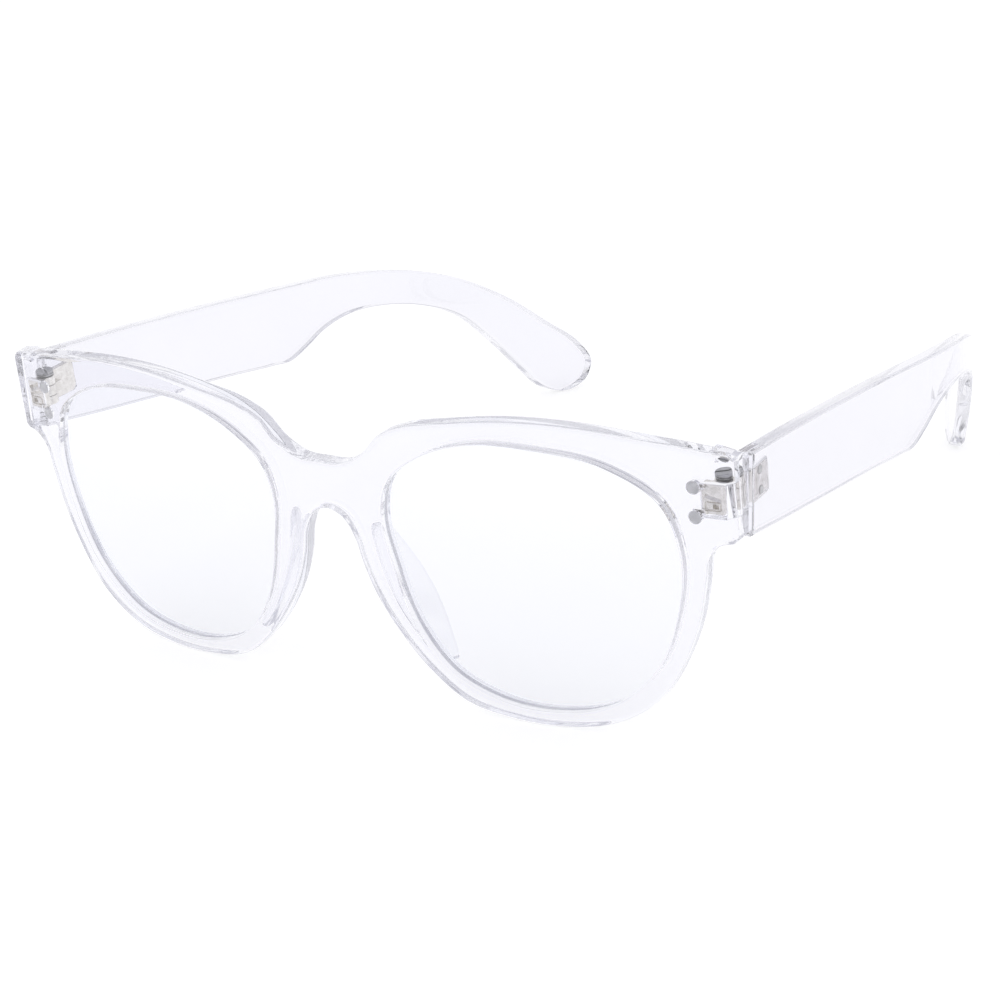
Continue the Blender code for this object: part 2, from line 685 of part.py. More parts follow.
def make_temple(builder, side, sign, clear):
    """The arm: a flat board with a long ear bend, curled inwards, pocketed for its hinge leaf."""
    mesh = slab("temple", [temple_outline()], TEMPLE_THICK, TEMPLE_ROUNDING)
    slice_across(mesh, 0, [88.0 + 6.0 * i for i in range(12)])
    for vertex in mesh.vertices:
        y, z, across = vertex.co
        vertex.co = (temple_face(y / MM) * MM - TEMPLE_THICK / 2 * MM + across, y, z)
    hinge = builder.hinges[side]
    temple = builder.place(f"temple_{side}", flipped(mesh, sign), builder.head, clear, hinge)
    out = TEMPLE_LEAF_OUT + CLEARANCE
    half = LEAF_HALF_HEIGHT + CLEARANCE
    bottom, top = HINGE_Z - half, HINGE_Z + half
    head_top = HINGE_Z + BARREL_HEIGHT / 2 + SCREW_HEAD + HEAD_ROOM
    pocket = box_mesh("pocket", (64.0, 9.0, bottom), (out, LEAF_BACK + CLEARANCE, top))
    builder.change(temple, flipped(pocket, sign), "DIFFERENCE", builder.front)
    above = rod_mesh("above", SCREW_HEAD_RADIUS + 0.35, top - 0.5, head_top, (HINGE_X, HINGE_Y), "Z", 20)
    builder.change(temple, flipped(above, sign), "DIFFERENCE", builder.front)
    hole_end = out + TEMPLE_STUD_LENGTH + CLEARANCE
    for rise in (TEMPLE_STUD_RISE, -TEMPLE_STUD_RISE):
        at = TEMPLE_STUD_Y, HINGE_Z + rise
        hole = rod_mesh("hole", TEMPLE_STUD_RADIUS + CLEARANCE, out - 0.2, hole_end, at, "X", 16)
        builder.change(temple, flipped(hole, sign), "DIFFERENCE", builder.front)
    return temple


def shade(obj):
    obj.data.shade_smooth()
    obj.data.set_sharp_from_angle(angle=math.radians(35))


def main():
    clear_scene()
    builder = Builder()
    clear = material("clear_plastic", (0.96, 0.96, 0.98), 0.03, transmission=1.0)
    lens = material("coated_lens", (0.97, 0.98, 1.0), 0.01, transmission=1.0)
    nickel = material("nickel_hinge", (0.72, 0.69, 0.65), 0.3, metallic=1.0)
    steel = material("steel_screw", (0.42, 0.42, 0.43), 0.28, metallic=1.0)
    stud = material("bright_stud", (0.78, 0.78, 0.77), 0.45, metallic=1.0)
    make_front(builder, clear)
    for side, sign in (("left", 1), ("right", -1)):
        make_lens(builder, side, sign, lens)
        make_nose_pad(builder, side, sign, clear)
        make_front_leaf(builder, side, sign, nickel)
        make_temple_leaf(builder, side, sign, nickel)
        make_screw(builder, side, sign, steel)
        make_front_studs(builder, side, sign, stud)
        make_temple_studs(builder, side, sign, stud)
        make_temple(builder, side, sign, clear)
    for obj in builder.parts.objects:
        if obj.type == "MESH":
            shade(obj)


main()
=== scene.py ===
"""Clear eyeglasses on a white floor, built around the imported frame."""

import math

import bmesh
import bpy
from mathutils import Matrix, Vector
from mathutils.geometry import interpolate_bezier


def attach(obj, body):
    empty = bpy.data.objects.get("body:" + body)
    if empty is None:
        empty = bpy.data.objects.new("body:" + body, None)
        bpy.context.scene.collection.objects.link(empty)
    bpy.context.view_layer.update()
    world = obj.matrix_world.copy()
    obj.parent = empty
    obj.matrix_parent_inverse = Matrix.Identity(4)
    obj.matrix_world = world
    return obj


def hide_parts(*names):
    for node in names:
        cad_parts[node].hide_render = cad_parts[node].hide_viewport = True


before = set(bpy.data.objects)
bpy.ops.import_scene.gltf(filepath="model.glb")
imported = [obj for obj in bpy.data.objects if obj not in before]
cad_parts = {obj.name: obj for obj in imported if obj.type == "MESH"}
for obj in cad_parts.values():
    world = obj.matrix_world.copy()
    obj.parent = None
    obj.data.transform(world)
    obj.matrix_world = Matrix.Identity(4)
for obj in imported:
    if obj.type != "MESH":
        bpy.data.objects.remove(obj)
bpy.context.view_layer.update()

MM = 0.001

# The CAD's own numbers
FACE_RADIUS = 336.0
FRONT_TILT = 9.2
FRONT_REACH = 74
RIM_DEPTH = 3.6
BUTT = 10.9
CLEARANCE = 0.3
TEMPLE_OUT = 72.3
TEMPLE_THICK = 3.0
TEMPLE_START = 12.0
TEMPLE_CONVERGE = 0.0425
EAR_START = 85.0
EAR_CURL = 0.00428
HINGE_X = 68.5
HINGE_Y = 13.3
HINGE_Z = 15.2
KNUCKLE = 1.65
BARREL = 5.2
BLOCK_IN = 66.2
BLOCK_OUT = 69.9
BLOCK_FRONT = 9.2
BLOCK_BACK = 11.35
BLOCK_LOW = 13.0
BLOCK_TOP = 18.1
STUD_X = 65.35
STUD_Y = 8.2
STUD_HEIGHTS = {"upper": 17.5, "lower": 12.5}
TEMPLE_LEAF_OUT = 70.1
REST_PITCH = 5.77
REST_LIFT = 26.95
REST_AHEAD = 76.57
CORNER = "corner"

FRONT_HALF = [
    (4.2, 15.8),
    (8.4, 18.0),
    (12.0, 21.6),
    (16.0, 23.5),
    (24.0, 25.2),
    (34.5, 26.7),
    (46.0, 27.0),
    (58.0, 26.1),
    (66.5, 25.2),
    (71.6, 24.5, CORNER),
    (72.4, 23.7, CORNER),
    (72.4, 10.6, CORNER),
    (71.6, 9.8, CORNER),
    (69.4, 9.2),
    (67.6, 7.2),
    (66.8, 3.4),
    (65.5, -3.0),
    (62.6, -11.0),
    (58.0, -18.8),
    (50.5, -24.3),
    (41.0, -26.6),
    (31.5, -26.6),
    (23.0, -24.8),
    (16.4, -19.7),
    (11.2, -13.3),
    (8.0, -7.8),
    (5.9, -2.0),
    (4.8, 2.6),
    (3.0, 5.7),
]
FRONT_TOP_MIDDLE = (0.0, 15.6)
FRONT_ARCH_MIDDLE = (0.0, 6.9)
OPENING = [
    (11.1, 7.5),
    (12.3, -1.5),
    (15.4, -12.0),
    (21.2, -19.7),
    (29.5, -23.4),
    (39.5, -24.0),
    (49.5, -21.3),
    (57.6, -13.8),
    (61.9, -3.5),
    (63.1, 7.0),
    (60.4, 15.4),
    (52.0, 20.6),
    (40.0, 22.4),
    (28.0, 21.9),
    (18.4, 18.2),
    (12.7, 13.2),
]
TEMPLE_LOWER = [
    (24.0, 9.3),
    (40.0, 8.8),
    (60.0, 8.2),
    (73.0, 7.6),
    (78.5, 7.5),
    (83.5, 9.3),
    (89.0, 11.8),
    (97.0, 13.8),
    (107.0, 13.9),
    (117.0, 12.2),
    (126.5, 8.6),
    (135.0, 1.1),
    (141.5, -6.0),
]
TEMPLE_TIP = [
    (145.8, -10.4),
    (150.2, -11.9),
    (154.2, -9.8),
    (155.5, -5.6),
    (153.0, -1.2),
]
TEMPLE_UPPER = [
    (146.5, 4.2),
    (137.0, 11.3),
    (126.5, 16.6),
    (114.0, 20.2),
    (98.0, 22.1),
    (78.0, 22.9),
    (50.0, 23.5),
    (24.0, 23.6),
]
TEMPLE_FRONT_TOP = 23.4
TEMPLE_FRONT_BOTTOM = 9.8

# The front: its rounded edges, the softened edge of its openings as (opened, depth) and the lenses in them
RIM_ROUNDING = 0.9
SOFT_EDGE = ((0.3, 0.0), (0.2, 0.03), (0.1, 0.1), (0.03, 0.2), (0.0, 0.3))
LENS_GAP = 0.015
LENS_FRONT = 1.05
LENS_BACK = 2.55
LENS_ROUNDING = 0.1
LENS_EDGE_SLANT = 0.6

# The wall and roof that run back from the front's corner. Each slope is (degrees, y, z) in the head's axes.
ENDPIECE = [
    (68.4, 24.85, CORNER),
    (71.6, 24.5, CORNER),
    (72.4, 23.7, CORNER),
    (72.4, 10.6, CORNER),
    (71.6, 9.8, CORNER),
    (70.9, 9.5, CORNER),
    (70.9, 22.6, CORNER),
    (68.4, 22.6, CORNER),
]
ENDPIECE_INSET = 0.02
ENDPIECE_RUN = (9.5, 15.5)
ENDPIECE_SLOPES = ((-13.5, 7.0, 24.5), (-35.0, 9.9, 23.82), (-60.0, 10.45, 23.42))

# The nose pads
PAD_BASE = [(8.0, 5.0), (8.4, 0.5), (9.6, -5.0), (11.8, -10.2), (15.0, -15.2), (19.2, -19.4)]
PAD_DEPTH = [1.4, 3.6, 5.3, 5.4, 4.2, 1.6]
PAD_SPLAY = 30.0
PAD_THICK = 2.0
PAD_ROWS = 5
PAD_ROOT = 1.0
PAD_FLARE = 0.06
PAD_GAP = 0.05
RIM_SPACE = ((2, 12), (26, 12), (26, -26), (2, -26))

# The temples
TEMPLE_CHAMFER = 0.3
TEMPLE_ROUNDING = 0.6
TEMPLE_CUT_IN = 64.0
LEAF_POCKET = 5.96

# The hinges
HINGE_CENTRE = (HINGE_X, HINGE_Y)
BARREL_LOW = HINGE_Z - BARREL / 2
BARREL_HIGH = HINGE_Z + BARREL / 2
MIDDLE_LOW = HINGE_Z - 0.95
MIDDLE_HIGH = HINGE_Z + 0.95
KNUCKLE_GAP = 0.05
ARM_INSET = 0.03
FLUTE_COUNT = 7
FLUTE_START = -112
FLUTE_STEP = 24
FLUTE_RADIUS = 0.16
GROOVE_PLACES = (9.85, 10.45, 11.05)
GROOVE_RADIUS = 0.17
NECKS = (BLOCK_TOP - 0.4, BLOCK_LOW + 0.4)
NECK = 0.76
NECK_SPACE = 0.9
BLOCK_GAP = 0.08
NOTCH_LOW = 12.3
NOTCH_OUT = 70.5
NOTCH_BACK = 17.0
NOTCH_BARREL = (12.0, 18.4)
SCREW_NOTCH = ((66.6, 11.3, BLOCK_TOP - 1.0), (70.4, 16.5, 19.3))
STUD_RADIUS = 1.1
STUD_GAP = 0.03
STUD_BACK = 8.92
STUD_HOLE_BACK = 9.3
RIVET_HEIGHTS = {"upper": HINGE_Z + 1.7, "lower": HINGE_Z - 1.7}
RIVET_Y = 18.2
RIVET_RADIUS = 0.7
RIVET_HOLE = 0.8
PIN = 0.65
PIN_HOLE = 0.72
SCREW_HEAD = 1.55
SLOT_WIDTH = 0.48
SLOT_TURN = 35.0
TEMPLE_LEAF_THICK = 1.2
TEMPLE_LEAF = [
    (15.3, 12.3),
    (20.1, 12.3),
    (20.7, 12.6),
    (21.0, 13.2),
    (21.0, 16.9),
    (20.7, 17.5),
    (20.1, 17.9),
    (15.3, 17.9),
]

# The relief on the block's front face, as boxes. Each crease is also turned and tipped, in degrees.
WINDOW = ((66.75, BLOCK_FRONT - 1, 13.55), (69.55, BLOCK_FRONT + 0.3, 15.2))
WINDOW_PAD = ((67.0, BLOCK_FRONT + 0.02, 13.8), (69.3, BLOCK_FRONT + 0.6, 14.95))
WINDOW_SLOT = ((68.1, BLOCK_FRONT - 1, 13.95), (69.1, BLOCK_FRONT + 0.8, 14.8))
CREASES = (
    ((66.5, BLOCK_FRONT - 0.75, 16.1), (69.5, BLOCK_FRONT + 0.2, 17.6), 20, -35),
    ((66.8, BLOCK_FRONT - 0.5, 15.25), (69.6, BLOCK_FRONT + 0.15, 16.1), 16, -40),
)

# The looks: the light in a lens's edge, the floor's own light and the sky's bands as (height, level)
EDGE_GLOW = 0.28
FLOOR_GLOW = 0.68
SKY = (
    (0.15, 1.0),
    (0.2, 0.6),
    (0.36, 0.6),
    (0.42, 1.0),
    (0.55, 1.0),
    (0.65, 0.68),
    (0.72, 0.45),
    (0.79, 0.68),
)
SKY_STRENGTH = 1.04

HEAD = Matrix.Translation((0, -REST_AHEAD * MM, REST_LIFT * MM)) @ Matrix.Rotation(
    math.radians(-REST_PITCH), 4, "X"
)
FRONT = HEAD @ Matrix.Rotation(math.radians(FRONT_TILT), 4, "X")
HEAD_TO_FRONT = FRONT.inverted() @ HEAD
SIDES = (("left", 1), ("right", -1))

# --- Outlines and meshes -----------------------------------------------------------------------------


def smooth_loop(points, spacing=0.9):
    """A closed curve through 2-D points, as Vectors about this far apart. It turns sharply at a CORNER."""
    knots = [Vector(p[:2]).to_3d() for p in points]
    count = len(knots)
    gaps = [(knots[(i + 1) % count] - knots[i]).length for i in range(count)]
    slopes = []
    for i in range(count):
        before, after = gaps[i - 1], gaps[i]
        back = (knots[i] - knots[i - 1]) / before
        ahead = (knots[(i + 1) % count] - knots[i]) / after
        if CORNER in points[i]:
            slopes.append((back, ahead))
        else:
            slopes.append([(back * after + ahead * before) / (before + after)] * 2)
    loop = []
    for i in range(count):
        j = (i + 1) % count
        reach = gaps[i] / 3
        straight = CORNER in points[i] and CORNER in points[j]
        steps = 1 if straight else max(1, round(gaps[i] / spacing))
        handles = knots[i] + slopes[i][1] * reach, knots[j] - slopes[j][0] * reach
        span = interpolate_bezier(knots[i], *handles, knots[j], steps + 1)
        loop += [p.to_2d() for p in span[:-1]]
    return loop


def offset_loop(loop, distance):
    area = sum(loop[i - 1].cross(loop[i]) for i in range(len(loop)))
    side = math.copysign(distance, area)
    moved = []
    for i, point in enumerate(loop):
        along = (loop[(i + 1) % len(loop)] - loop[i - 1]).normalized()
        moved.append(point + side * Vector((along.y, -along.x)))
    return moved


def mirrored(points):
    return [(-x, *rest) for x, *rest in reversed(points)]


def weld(mesh, distance=0.004):
    bm = bmesh.new()
    bm.from_mesh(mesh)
    bmesh.ops.remove_doubles(bm, verts=bm.verts, dist=distance * MM)
    bmesh.ops.recalc_face_normals(bm, faces=bm.faces)
    bm.to_mesh(mesh)
    bm.free()


def evaluated_mesh(obj):
    bpy.context.view_layer.update()
    return bpy.data.meshes.new_from_object(obj.evaluated_get(bpy.context.evaluated_depsgraph_get()))


def slab(loops, thickness, rounding, resolution=4):
    """A mesh of the area inside the loops, about z = 0, with rounded rims. Loops are in mm."""
    curve = bpy.data.curves.new("slab", "CURVE")
    curve.dimensions = "2D"
    curve.fill_mode = "BOTH"
    curve.extrude = (thickness / 2 - rounding) * MM
    curve.bevel_depth = rounding * MM
    curve.bevel_resolution = resolution
    curve.offset = -rounding * MM
    for loop in loops:
        spline = curve.splines.new("POLY")
        spline.points.add(len(loop) - 1)
        spline.use_cyclic_u = True
        for point, (x, y) in zip(spline.points, loop):
            point.co = (x * MM, y * MM, 0.0, 1.0)
    obj = bpy.data.objects.new("slab", curve)
    bpy.context.scene.collection.objects.link(obj)
    mesh = evaluated_mesh(obj)
    bpy.data.objects.remove(obj)
    weld(mesh)
    return mesh


def slice_across(mesh, axis, positions):
    bm = bmesh.new()
    bm.from_mesh(mesh)
    normal = [0.0, 0.0, 0.0]
    normal[axis] = 1.0
    for position in positions:
        point = [0.0, 0.0, 0.0]
        point[axis] = position * MM
        everything = bm.verts[:] + bm.edges[:] + bm.faces[:]
        bmesh.ops.bisect_plane(bm, geom=everything, dist=1e-7, plane_co=point, plane_no=normal)
    bm.to_mesh(mesh)
    bm.free()


def face_sag(x):
    return FACE_RADIUS - math.sqrt(FACE_RADIUS**2 - x * x)


def lean(mesh, back=1.0):
    """Moves each point of a mesh down, and back by this share, to follow the face's level bend."""
    tilt = math.radians(FRONT_TILT)
    for vertex in mesh.vertices:
        sag = face_sag(vertex.co.x / MM) * MM
        vertex.co.y += sag * math.cos(tilt) * back
        vertex.co.z -= sag * math.sin(tilt)


def bend_to_face(mesh, every=2.0):
    half = int(FRONT_REACH / every)
    slice_across(mesh, 0, [(i + 0.5) * every for i in range(-half, half)])
    lean(mesh)


def front_slab(loops, y_low, y_high, rounding, resolution=4):
    mesh = slab(loops, y_high - y_low, rounding, resolution)
    mesh.transform(Matrix.Rotation(math.pi / 2, 4, "X"))
    mesh.transform(Matrix.Translation((0, (y_low + y_high) / 2 * MM, 0)))
    return mesh


def box_mesh(low, high, rounding=0.0, segments=3):
    mesh = bpy.data.meshes.new("box")
    bm = bmesh.new()
    size = [b - a for a, b in zip(low, high)]
    middle = [(a + b) / 2 * MM for a, b in zip(low, high)]
    scale = Matrix.Diagonal((*[s * MM for s in size], 1.0))
    bmesh.ops.create_cube(bm, size=1.0, matrix=Matrix.Translation(middle) @ scale)
    if rounding:
        bmesh.ops.bevel(
            bm, geom=bm.edges[:], offset=rounding * MM, segments=segments, profile=0.5, affect="EDGES"
        )
    bm.to_mesh(mesh)
    bm.free()
    return mesh


def rod_mesh(radius, low, high, centre=(0.0, 0.0), axis="Z", sides=64, chamfer=0.0):
    mesh = bpy.data.meshes.new("rod")
    bm = bmesh.new()
    bmesh.ops.create_cone(
        bm,
        cap_ends=True,
        segments=sides,
        radius1=radius * MM,
        radius2=radius * MM,
        depth=(high - low) * MM,
    )
    if chamfer:
        ends = [e for e in bm.edges if abs(e.verts[0].co.z - e.verts[1].co.z) < 1e-9]
        bmesh.ops.bevel(bm, geom=ends, offset=chamfer * MM, segments=3, profile=0.5, affect="EDGES")
    bm.transform(Matrix.Translation((0, 0, (low + high) / 2 * MM)))
    if axis == "Y":
        bm.transform(Matrix.Rotation(-math.pi / 2, 4, "X"))
        bm.transform(Matrix.Translation((centre[0] * MM, 0, centre[1] * MM)))
    elif axis == "X":
        bm.transform(Matrix.Rotation(math.pi / 2, 4, "Y"))
        bm.transform(Matrix.Translation((0, centre[0] * MM, centre[1] * MM)))
    else:
        bm.transform(Matrix.Translation((centre[0] * MM, centre[1] * MM, 0)))
    bm.to_mesh(mesh)
    bm.free()
    return mesh


def loft(loop, stations):
    """A closed solid in the front's axes through the loop at each (y, offset) station, in mm."""
    mesh = bpy.data.meshes.new("loft")
    bm = bmesh.new()
    rings = []
    for y, offset in stations:
        moved = offset_loop(loop, offset) if offset else loop
        rings.append([bm.verts.new((p.x * MM, y * MM, p.y * MM)) for p in moved])
    for first, second in zip(rings, rings[1:]):
        for i in range(len(loop)):
            bm.faces.new((first[i - 1], first[i], second[i], second[i - 1]))
    bm.faces.new(rings[0])
    bm.faces.new(rings[-1])
    bmesh.ops.recalc_face_normals(bm, faces=bm.faces)
    bm.to_mesh(mesh)
    bm.free()
    return mesh


def flipped(mesh, sign):
    if sign < 0:
        mesh.transform(Matrix.Diagonal((-1.0, 1.0, 1.0, 1.0)))
        mesh.flip_normals()
    return mesh


def combined(mesh, steps):
    """The mesh after each (operation, other mesh) in turn."""
    obj = bpy.data.objects.new("work", mesh)
    bpy.context.scene.collection.objects.link(obj)
    tools = []
    for operation, other in steps:
        tool = bpy.data.objects.new("tool", other)
        bpy.context.scene.collection.objects.link(tool)
        tools.append(tool)
        modifier = obj.modifiers.new("boolean", "BOOLEAN")
        modifier.operation = operation
        modifier.solver = "MANIFOLD"
        modifier.object = tool
    made = evaluated_mesh(obj)
    for old in (obj, *tools):
        bpy.data.objects.remove(old)
    return made


def finish_mesh(mesh, angle=32.0):
    """Smooth shading that keeps flat faces flat and hard edges hard."""
    mesh.materials.clear()
    mesh.shade_smooth()
    mesh.set_sharp_from_angle(angle=math.radians(angle))


def piece(name, mesh, axes, finish, body, *nodes, slot, angle=32.0):
    mesh.transform(axes)
    finish_mesh(mesh, angle)
    mesh.name = name
    mesh.materials.append(finish)
    obj = bpy.data.objects.new(name, mesh)
    bpy.context.scene.collection.objects.link(obj)
    normals = obj.modifiers.new("normals", "WEIGHTED_NORMAL")
    normals.keep_sharp = True
    normals.weight = 100
    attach(obj, body)
    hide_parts(*nodes)
    return obj


# --- Materials ---------------------------------------------------------------------------------------


class Shader:
    """A Principled material and the nodes that feed it."""

    def __init__(self, name):
        self.material = bpy.data.materials.new(name)
        self.material.use_nodes = True
        self.tree = self.material.node_tree
        self.bsdf = self.tree.nodes["Principled BSDF"]
        self.coords = self.tree.nodes.new("ShaderNodeTexCoord")

    def set(self, **values):
        for name, value in values.items():
            self.bsdf.inputs[name.replace("_", " ")].default_value = value

    def noise(self, scale, detail=3.0, roughness=0.5, stretch=(1.0, 1.0, 1.0)):
        mapping = self.tree.nodes.new("ShaderNodeMapping")
        mapping.inputs["Scale"].default_value = stretch
        self.tree.links.new(self.coords.outputs["Object"], mapping.inputs["Vector"])
        node = self.tree.nodes.new("ShaderNodeTexNoise")
        node.inputs["Scale"].default_value = scale
        node.inputs["Detail"].default_value = detail
        node.inputs["Roughness"].default_value = roughness
        self.tree.links.new(mapping.outputs["Vector"], node.inputs["Vector"])
        return node.outputs["Fac"]

    def ramp(self, source, low, high, start=0.3, end=0.7):
        node = self.tree.nodes.new("ShaderNodeValToRGB")
        node.color_ramp.elements[0].position = start
        node.color_ramp.elements[1].position = end
        node.color_ramp.elements[0].color = (*low, 1.0)
        node.color_ramp.elements[1].color = (*high, 1.0)
        self.tree.links.new(source, node.inputs["Fac"])
        return node.outputs["Color"]

    def span(self, source, low, high):
        node = self.tree.nodes.new("ShaderNodeMapRange")
        node.inputs["To Min"].default_value = low
        node.inputs["To Max"].default_value = high
        self.tree.links.new(source, node.inputs["Value"])
        return node.outputs["Result"]

    def bump(self, source, strength, distance):
        node = self.tree.nodes.new("ShaderNodeBump")
        node.inputs["Strength"].default_value = strength
        node.inputs["Distance"].default_value = distance
        self.tree.links.new(source, node.inputs["Height"])
        self.tree.links.new(node.outputs["Normal"], self.bsdf.inputs["Normal"])

    def link(self, output, name):
        self.tree.links.new(output, self.bsdf.inputs[name])


def clear_plastic(name, low, high):
    shader = Shader(name)
    shader.set(IOR=1.5, Transmission_Weight=1.0)
    drift = shader.noise(60.0)
    shader.link(shader.ramp(drift, low, high), "Base Color")
    shader.link(shader.span(shader.noise(300.0), 0.0, 0.02), "Roughness")
    return shader.material


def coated_lens():
    """Water-clear, with painted shade that deepens its tone towards the bottom, and a thin blue-violet
    coating.
    """
    shader = Shader("coated_lens")
    shader.set(IOR=1.5, Transmission_Weight=1.0, Thin_Film_Thickness=150.0, Thin_Film_IOR=1.38)
    split = shader.tree.nodes.new("ShaderNodeSeparateXYZ")
    shader.tree.links.new(shader.coords.outputs["Object"], split.inputs["Vector"])
    height = shader.tree.nodes.new("ShaderNodeMapRange")
    height.inputs["From Max"].default_value = 0.05
    shader.tree.links.new(split.outputs["Z"], height.inputs["Value"])
    # Painted shade: the lens's colour darkens with lower height, with a little random drift mixed in.
    drift = shader.tree.nodes.new("ShaderNodeMath")
    drift.operation = "MULTIPLY_ADD"
    drift.inputs[1].default_value = 0.12
    shader.tree.links.new(shader.noise(25.0), drift.inputs[0])
    shader.tree.links.new(height.outputs["Result"], drift.inputs[2])
    tone = shader.ramp(drift.outputs["Value"], (0.895, 0.9, 0.93), (0.955, 0.96, 0.98), 0.05, 0.9)
    shader.link(tone, "Base Color")
    shader.link(shader.span(shader.noise(300.0), 0.0, 0.01), "Roughness")
    return shader.material


def ground_edge():
    """The matt cut edge of a lens. Its glow stands for the light that the lens guides to it."""
    shader = Shader("ground_edge")
    shader.link(shader.ramp(shader.noise(700.0), (0.84, 0.84, 0.87), (0.93, 0.93, 0.95)), "Base Color")
    shader.link(shader.span(shader.noise(1200.0), 0.55, 0.8), "Roughness")
    shader.bsdf.inputs["Emission Color"].default_value = (0.95, 0.95, 1.0, 1.0)
    shader.bsdf.inputs["Emission Strength"].default_value = EDGE_GLOW
    return shader.material


def metal(name, low, high, roughness):
    shader = Shader(name)
    shader.set(Metallic=1.0)
    grain = shader.noise(900.0, 5.0, 0.6)
    shader.link(shader.ramp(grain, low, high), "Base Color")
    shader.link(shader.span(shader.noise(1600.0, 2.0), roughness - 0.07, roughness + 0.1), "Roughness")
    shader.bump(shader.noise(1500.0, 4.0), 0.15, 0.00006)
    return shader.material


# --- Pieces ------------------------------------------------------------------------------------------


def opening_loop(sign):
    return smooth_loop(OPENING if sign > 0 else mirrored(OPENING))


def opening_cutter(sign):
    """The opening with softened edges, as one solid. The lens fills it, so the groove is left out."""
    widest = SOFT_EDGE[0][0]
    stations = [(-4.0, widest)]
    stations += [(depth, offset) for offset, depth in SOFT_EDGE]
    stations += [(RIM_DEPTH - depth, offset) for offset, depth in reversed(SOFT_EDGE)]
    stations.append((RIM_DEPTH + 3.0, widest))
    mesh = loft(opening_loop(sign), stations)
    lean(mesh)
    return mesh


def endpiece_steps():
    """Adds the wall and roof behind the left corner, then cuts their end and their top to shape."""
    wall = front_slab([offset_loop(smooth_loop(ENDPIECE), -ENDPIECE_INSET)], *ENDPIECE_RUN, 0.0)
    lean(wall, 0.0)
    behind = box_mesh((60.0, BUTT, 2.0), (80.0, BUTT + 12.0, 34.0))
    behind.transform(HEAD_TO_FRONT)
    steps = [("UNION", wall), ("DIFFERENCE", behind)]
    for degrees, y, z in ENDPIECE_SLOPES:
        above = box_mesh((60.0, 0.0, 0.0), (80.0, 12.0, 12.0))
        slope = Matrix.Translation((0, y * MM, z * MM)) @ Matrix.Rotation(math.radians(degrees), 4, "X")
        above.transform(HEAD_TO_FRONT @ slope)
        steps.append(("DIFFERENCE", above))
    return steps


def front_hinge_space():
    """The room in the front for the left hinge's block, barrel, screw head, studs and necks."""
    low = (BLOCK_IN - BLOCK_GAP, BLOCK_FRONT - BLOCK_GAP, NOTCH_LOW)
    high = (NOTCH_OUT, NOTCH_BACK, BLOCK_TOP + BLOCK_GAP)
    cuts = [box_mesh(low, high, 0.15)]
    cuts.append(box_mesh(*SCREW_NOTCH, 0.15))
    cuts.append(rod_mesh(KNUCKLE + 0.15, *NOTCH_BARREL, HINGE_CENTRE))
    for height in STUD_HEIGHTS.values():
        hole = STUD_RADIUS + STUD_GAP
        cuts.append(rod_mesh(hole, STUD_Y - STUD_GAP, STUD_HOLE_BACK, (STUD_X, height), "Y"))
    for height in NECKS:
        low = (64.9, 8.6, height - NECK_SPACE / 2)
        high = (67.0, 10.9, height + NECK_SPACE / 2)
        cuts.append(box_mesh(low, high, 0.05))
    return cuts


def make_front(clear):
    half = [FRONT_TOP_MIDDLE] + FRONT_HALF + [FRONT_ARCH_MIDDLE]
    outline = smooth_loop(half + mirrored(FRONT_HALF))
    mesh = front_slab([outline], 0, RIM_DEPTH, RIM_ROUNDING)
    bend_to_face(mesh)
    steps = []
    for _, sign in SIDES:
        steps += [(operation, flipped(tool, sign)) for operation, tool in endpiece_steps()]
        steps.append(("DIFFERENCE", opening_cutter(sign)))
        steps += [("DIFFERENCE", flipped(cut, sign)) for cut in front_hinge_space()]
    mesh = combined(mesh, steps)
    piece("front_moulding", mesh, FRONT, clear, "front", "front_frame", slot="clear_plastic")


def make_lens(side, sign, finish, ground):
    outline = offset_loop(opening_loop(sign), -LENS_GAP)
    mesh = front_slab([outline], LENS_FRONT, LENS_BACK, LENS_ROUNDING, 2)
    bend_to_face(mesh)
    obj = piece(f"lens_glass_{side}", mesh, FRONT, finish, "front", f"lens_{side}", slot="coated_lens")
    obj.data.materials.append(ground)
    for polygon in obj.data.polygons:
        if abs(polygon.normal.y) < LENS_EDGE_SLANT:
            polygon.material_index = 1


def pad_sheet():
    """The left pad's middle surface. Its first row lies inside the rim, and it flares towards the back."""
    splay = math.radians(PAD_SPLAY)
    back = Vector((math.sin(splay), math.cos(splay)))
    bm = bmesh.new()
    grid = []
    for (x, z), depth in zip(PAD_BASE, PAD_DEPTH):
        column = []
        for row in range(PAD_ROWS):
            reach = depth * row / (PAD_ROWS - 1) - PAD_ROOT * (row == 0)
            flare = PAD_FLARE * reach**2 / PAD_THICK
            y = RIM_DEPTH + reach * back.y
            column.append(bm.verts.new(Vector((x + reach * back.x + flare, y, z)) * MM))
        grid.append(column)
    for first, second in zip(grid, grid[1:]):
        for row in range(PAD_ROWS - 1):
            bm.faces.new((first[row], second[row], second[row + 1], first[row + 1]))
    bmesh.ops.recalc_face_normals(bm, faces=bm.faces)
    mesh = bpy.data.meshes.new("nose_pad")
    bm.to_mesh(mesh)
    bm.free()
    lean(mesh)
    return mesh


def make_nose_pad(side, sign, clear):
    obj = bpy.data.objects.new("pad", flipped(pad_sheet(), sign))
    bpy.context.scene.collection.objects.link(obj)
    thick = obj.modifiers.new("thickness", "SOLIDIFY")
    thick.thickness = PAD_THICK * MM
    thick.offset = 0.0
    soft = obj.modifiers.new("soft", "SUBSURF")
    soft.levels = soft.render_levels = 3
    mesh = evaluated_mesh(obj)
    bpy.data.objects.remove(obj)
    rim = front_slab([[Vector(p) for p in RIM_SPACE]], -4, RIM_DEPTH + PAD_GAP, 0)
    bend_to_face(rim)
    mesh = combined(mesh, [("DIFFERENCE", flipped(rim, sign))])
    piece(f"pad_{side}", mesh, FRONT, clear, "front", f"nose_pad_{side}", slot="clear_plastic")


